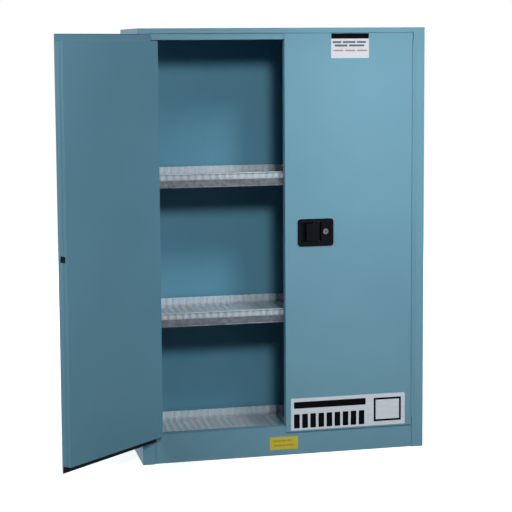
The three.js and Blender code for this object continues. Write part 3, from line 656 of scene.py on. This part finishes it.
def soften(node, width, segments=2):
    """Rounds the outer edges of a sheet or a moulding."""
    weld = nodes[node].modifiers.new("weld", "WELD")
    weld.merge_threshold = EDGE_MERGE
    bevel = nodes[node].modifiers.new("soft_edges", "BEVEL")
    bevel.width = width
    bevel.segments = segments
    bevel.limit_method = "ANGLE"
    bevel.angle_limit = math.radians(EDGE_ANGLE)
    bevel.use_clamp_overlap = False
    even = nodes[node].modifiers.new("even_shading", "WEIGHTED_NORMAL")
    even.weight = EDGE_WEIGHT


# Shelf hems
HEM_RADIUS = 0.0021
HEM_END = 0.004
HEM_SIDES = 12


def add_lip_hem(node, material):
    """The rolled hem along the foot of a shelf's front lip."""
    low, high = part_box(node)
    half = (high[0] - low[0]) / 2 - HEM_END
    profile = (
        (HEM_RADIUS * 0.6, -half),
        (HEM_RADIUS, -half + HEM_RADIUS * 0.5),
        (HEM_RADIUS, half - HEM_RADIUS * 0.5),
        (HEM_RADIUS * 0.6, half),
    )
    centre = (0, low[1] + HEM_RADIUS * 0.35, low[2] + HEM_RADIUS)
    hem = turned(node + "_hem", profile, centre, (1, 0, 0), material, HEM_SIDES)
    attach(hem, node + "_body")


# Strips at the doors' feet
LEFT_DOOR_OPEN = math.radians(139)
FOOT_STRIP_GAP = 0.0015
FOOT_STRIP_PAN_GAP = 0.0003
FOOT_STRIP_FACE = 0.0043
FOOT_STRIP_THICKNESS = 0.003
FOOT_STRIP_CORNER = 0.0006


def add_foot_dark_strip(side, material):
    """The dark strip in the channel between a door skin's lower hem and its pan."""
    low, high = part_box("door_skin_right")
    left, right = low[0] + FOOT_STRIP_GAP, high[0] - FOOT_STRIP_GAP
    foot, top = low[2] + FOOT_STRIP_GAP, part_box("door_pan_right")[0][2] - FOOT_STRIP_PAN_GAP
    centre = ((left + right) / 2, low[1] + FOOT_STRIP_FACE, (foot + top) / 2)
    size = (right - left, top - foot)
    name = "door_foot_dark_strip_" + side
    # A thin black plate that darkens the channel at the door's foot.
    channel_strip = rounded_plate(name, centre, size, FOOT_STRIP_CORNER, FOOT_STRIP_THICKNESS, material, 2)
    if side == "left":
        joints = frame["record"]["behaviour"]["joints"]
        hinge = next(joint["pos_m"] for joint in joints if joint["name"] == "left_door_swing")
        about = Matrix.Translation((hinge[0], hinge[1], 0))
        mirror = Matrix.Scale(-1, 4, (1, 0, 0))
        swing = Matrix.Rotation(-LEFT_DOOR_OPEN, 4, "Z")
        channel_strip.data.transform(about @ swing @ about.inverted() @ mirror)
        channel_strip.data.flip_normals()
    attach(channel_strip, "door_" + side)


# Lock
COLLAR_RISE = 0.0018
COLLAR_WALL = 0.0022
COLLAR_GAP = 0.0004
KEYWAY_SIZE = (0.0022, 0.0095)
KEYWAY_CORNER = 0.0009
KEYWAY_THICKNESS = 0.0002
PLUG_RIM_RISE = 0.0004
LOCK_GAP = 0.0001
LOCK_SIDES = 32


def add_lock_details(steel, black):
    """A raised ring round the key cylinder, and the keyway and a rim in its face."""
    low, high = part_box("key_cylinder")
    x, z = (low[0] + high[0]) / 2, (low[2] + high[2]) / 2
    radius = (high[0] - low[0]) / 2
    inner, outer = radius + COLLAR_GAP, radius + COLLAR_WALL
    collar = (
        (inner, 0.0),
        (outer, 0.0),
        (outer, COLLAR_RISE * 0.6),
        (radius + COLLAR_WALL * 0.7, COLLAR_RISE),
        (inner, COLLAR_RISE),
        (inner, 0.0),
    )
    dish_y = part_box("latch_housing")[0][1]
    ring = turned("key_collar", collar, (x, dish_y, z), (0, -1, 0), black, LOCK_SIDES)
    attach(ring, "door_right")
    face = (x, low[1] - LOCK_GAP, z)
    keyway = rounded_plate("keyway", face, KEYWAY_SIZE, KEYWAY_CORNER, KEYWAY_THICKNESS, black)
    rim = (
        (radius * 0.62, 0.0),
        (radius * 0.72, 0.0),
        (radius * 0.7, PLUG_RIM_RISE),
        (radius * 0.64, PLUG_RIM_RISE),
        (radius * 0.62, 0.0),
    )
    plug_rim = turned("key_plug_rim", rim, face, (0, -1, 0), steel, LOCK_SIDES)
    for piece, slot in ((keyway, "black_plastic"), (plug_rim, "bright_steel")):
        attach(piece, "key_body")


# Screws of the standards
SCREWS_A_STANDARD = 4
SCREW_END = 0.014
SCREW_SIDES = 16
SCREW_HEAD = (
    (0.0042, 0.0),
    (0.0042, 0.0004),
    (0.0036, 0.0014),
    (0.0022, 0.0022),
    (0.0010, 0.0024),
    (0.0010, 0.0012),
)


def add_standard_screws(material):
    """Domed screws that hold each slotted standard to the inner side."""
    for name in nodes:
        if not name.startswith("standard_"):
            continue
        low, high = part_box(name)
        x, facing = (high[0], (1, 0, 0)) if high[0] < 0 else (low[0], (-1, 0, 0))
        y = (low[1] + high[1]) / 2
        run = high[2] - low[2] - 2 * SCREW_END
        heads = []
        for i in range(SCREWS_A_STANDARD):
            z = low[2] + SCREW_END + run * i / (SCREWS_A_STANDARD - 1)
            heads.append(turned("head", SCREW_HEAD, (x, y, z), facing, material, SCREW_SIDES))
        screws = joined(name + "_screws", heads)
        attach(screws, "carcass")


# Paint and metal
BLUE = (111, 158, 178)
# One paint: the pan and inside blues are copies of it, tinted as painted shade for the door pans
# and the cabinet's inside.
PAN_SHADED_BLUE = (106, 159, 182)
INNER_SHADED_BLUE = (100, 156, 180)


def dress_cabinet():
    outside = powder_coat("powder_coat_outside", BLUE, 0.05, 0.12)
    pans = powder_coat("powder_coat_pans_shaded", PAN_SHADED_BLUE, 0.06, 0.12)
    inside = powder_coat("powder_coat_inside_shaded", INNER_SHADED_BLUE, 0.08, 0.06)
    # The sheet zinc is darkened as painted shade, for the dark reflections on the shelf lips; the
    # hem's zinc is a lighter copy, a painted highlight along the lip's foot.
    galvanised = zinc("galvanised_sheet_shaded", (90, 96, 104), (0.42, 0.6))
    lit_hem_zinc = zinc("galvanised_fold_highlight", (116, 121, 128), (0.5, 0.66))
    plated = zinc("zinc_plated_hardware", (160, 163, 166), (0.26, 0.4))
    # Steel darkened as a painted reflection: the dark ring that the lock's convex chrome face
    # reflects.
    steel = bare_steel("drawn_steel_darkened", (112, 113, 116))
    black = moulded_black("black_nylon")
    milky = milky_tray("milky_polyethylene")
    gauze = brass_gauze("flame_gauze")
    shell = ("outer_", "header", "plinth", "vent_bung", "hinge_frame", "hinge_door", "door_skin")
    hardware = ("vent_sleeve", "foot_", "ground_stud", "latch_rod", "latch_cam", "centre_bolt")
    finishes = (
        (shell, outside),
        (("door_pan",), pans),
        (("inner_", "sump_pan"), inside),
        (("standard_", "clip_", "shelf_"), galvanised),
        (hardware, plated),
        (("hinge_pin", "paddle_pin", "key_cylinder"), steel),
        (("latch_housing", "paddle", "strike_plate"), black),
        (("flame_arrester",), gauze),
    )
    for name in nodes:
        if name.startswith("tray_"):
            fluted_tray(name, milky)
        else:
            dress(name, next(finish for starts, finish in finishes if name.startswith(starts)))
    for name in ("door_skin_left", "door_skin_right", "door_pan_left", "door_pan_right"):
        soften(name, DOOR_EDGE)
    for name in ("shelf_lower", "shelf_upper"):
        soften(name, SHELF_EDGE)
        add_lip_hem(name, lit_hem_zinc)
    for name in ("latch_housing", "paddle"):
        soften(name, MOULDED_EDGE, 3)
    for side in ("left", "right"):
        add_foot_dark_strip(side, black)
    add_lock_details(steel, black)
    add_standard_screws(plated)


# Plates and films
FILM = 0.0004
INK = 0.0002
FILM_LIFT = 0.0001


def add_plate(name, centre, size, thickness, corner, material, body):
    made = rounded_plate(name, centre, size, corner, thickness, material)
    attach(made, body)


def add_print(name, face, centre, size, corner, material, body):
    """A raised area of ink on the film that lies on face."""
    place = (centre[0], face - FILM, centre[1])
    add_plate(name, place, size, INK, corner, material, body)


UPPER_CENTRE = (0.2595, 1.582)
UPPER_SIZE = (0.150, 0.094)
UPPER_CORNER = 0.002
UPPER_BAND = 0.020
BAND_CORNER = 0.001
BAND_INSET = 0.001
BAR_CORNER = 0.0012
UPPER_ROWS = (
    ("grey", 0.014, 0.0075, ((-0.052, 0.034), (-0.004, 0.050), (0.045, 0.036))),
    ("grey", 0.001, 0.0075, ((-0.036, 0.050), (0.026, 0.060))),
    ("rust", -0.018, 0.0060, ((-0.047, 0.040), (0.0, 0.040), (0.047, 0.040))),
)


def add_upper_label(face, inks):
    """A white film with a dark head band and rows of plain bars: ink, level, height, bars."""
    x, z = UPPER_CENTRE
    wide, high = UPPER_SIZE
    add_plate(
        "upper_label", (x, face, z), UPPER_SIZE, FILM, UPPER_CORNER, inks["white"],
        "door_right",
    )
    band = (wide - BAND_INSET, UPPER_BAND)
    add_print(
        "upper_label_band", face, (x, z + high / 2 - UPPER_BAND / 2), band,
        BAND_CORNER, inks["dark"], "door_right",
    )
    for row, (ink, level, bar_high, spans) in enumerate(UPPER_ROWS):
        for i, (shift, span) in enumerate(spans):
            add_print(
                f"upper_label_bar_{row}_{i}", face, (x + shift, z + level), (span, bar_high),
                BAR_CORNER, inks[ink], "door_right",
            )


LOWER_CENTRE = (0.2525, 0.159)
LOWER_SIZE = (0.463, 0.126)
LOWER_CORNER = 0.003
LOWER_MARGIN = 0.012
LONG_BAR = (0.290, 0.026)
LONG_BAR_LEVEL = 0.036
SHORT_BAR = (0.023, 0.056)
SHORT_BAR_LEVEL = -0.027
SHORT_BAR_START = 0.0115
SHORT_BAR_PITCH = 0.0327
SHORT_BARS = 9
FRAME_SIZE = (0.112, 0.094)
FRAME_FROM_END = 0.072
FRAME_EDGE = 0.008
FRAME_CORNER = 0.001


def add_lower_plate(face, silver, dark):
    """A silver plate: a long dark bar over a row of upright ones, and a plain frame at the end."""
    x, z = LOWER_CENTRE
    wide = LOWER_SIZE[0]
    add_plate(
        "lower_plate", (x, face, z), LOWER_SIZE, FILM, LOWER_CORNER, silver,
        "door_right",
    )
    left = x - wide / 2 + LOWER_MARGIN
    add_print(
        "lower_plate_long_bar", face, (left + LONG_BAR[0] / 2, z + LONG_BAR_LEVEL), LONG_BAR,
        LOWER_CORNER, dark, "door_right",
    )
    for i in range(SHORT_BARS):
        bar_x = left + SHORT_BAR_START + SHORT_BAR_PITCH * i
        add_print(
            f"lower_plate_bar_{i}", face, (bar_x, z + SHORT_BAR_LEVEL), SHORT_BAR,
            LOWER_CORNER, dark, "door_right",
        )
    frame_x = x + wide / 2 - FRAME_FROM_END
    frame_wide, frame_high = FRAME_SIZE
    side, level = (frame_wide - FRAME_EDGE) / 2, (frame_high - FRAME_EDGE) / 2
    upright = (FRAME_EDGE, frame_high - 2 * FRAME_EDGE)
    for name, dx, dz, size in (
        ("top", 0, level, (frame_wide, FRAME_EDGE)),
        ("bottom", 0, -level, (frame_wide, FRAME_EDGE)),
        ("left", -side, 0, upright),
        ("right", side, 0, upright),
    ):
        add_print(
            "lower_plate_frame_" + name, face, (frame_x + dx, z + dz), size,
            FRAME_CORNER, dark, "door_right",
        )


PLINTH_CENTRE = (-0.006, 0.0475)
PLINTH_SIZE = (0.113, 0.051)
PLINTH_CORNER = 0.002
PLINTH_BAR_HIGH = 0.007
PLINTH_BARS = ((-0.018, 0.010, 0.052), (0.020, 0.010, 0.016), (0, -0.008, 0.080))


def add_plinth_label(face, amber, ochre):
    """A yellow film with plain bars: shift, level, width."""
    x, z = PLINTH_CENTRE
    add_plate(
        "plinth_label", (x, face, z), PLINTH_SIZE, FILM, PLINTH_CORNER, amber,
        "carcass",
    )
    for i, (shift, level, span) in enumerate(PLINTH_BARS):
        add_print(
            f"plinth_label_bar_{i}", face, (x + shift, z + level), (span, PLINTH_BAR_HIGH),
            PLINTH_CORNER, ochre, "carcass",
        )


def add_plates():
    """Bare plates and plain films on the closed door and the plinth."""
    inks = {
        "white": printed_film("white_film", (214, 219, 227)),
        "dark": printed_film("dark_film", (7, 8, 12), 0.5, 0.03),
        "grey": printed_film("grey_film", (98, 101, 108)),
        "rust": printed_film("rust_film", (178, 142, 150)),
    }
    silver = plate_metal("silver_film", (191, 199, 207))
    amber = printed_film("amber_film", (210, 196, 74))
    ochre = printed_film("ochre_film", (188, 165, 56))
    add_upper_label(front_y - FILM_LIFT, inks)
    add_lower_plate(front_y - FILM_LIFT, silver, inks["dark"])
    add_plinth_label(plinth_y - FILM_LIFT, amber, ochre)


bpy.context.scene.view_settings.view_transform = "Standard"
place_camera()
build_world()
build_floor()
build_lights()
dress_cabinet()
add_plates()
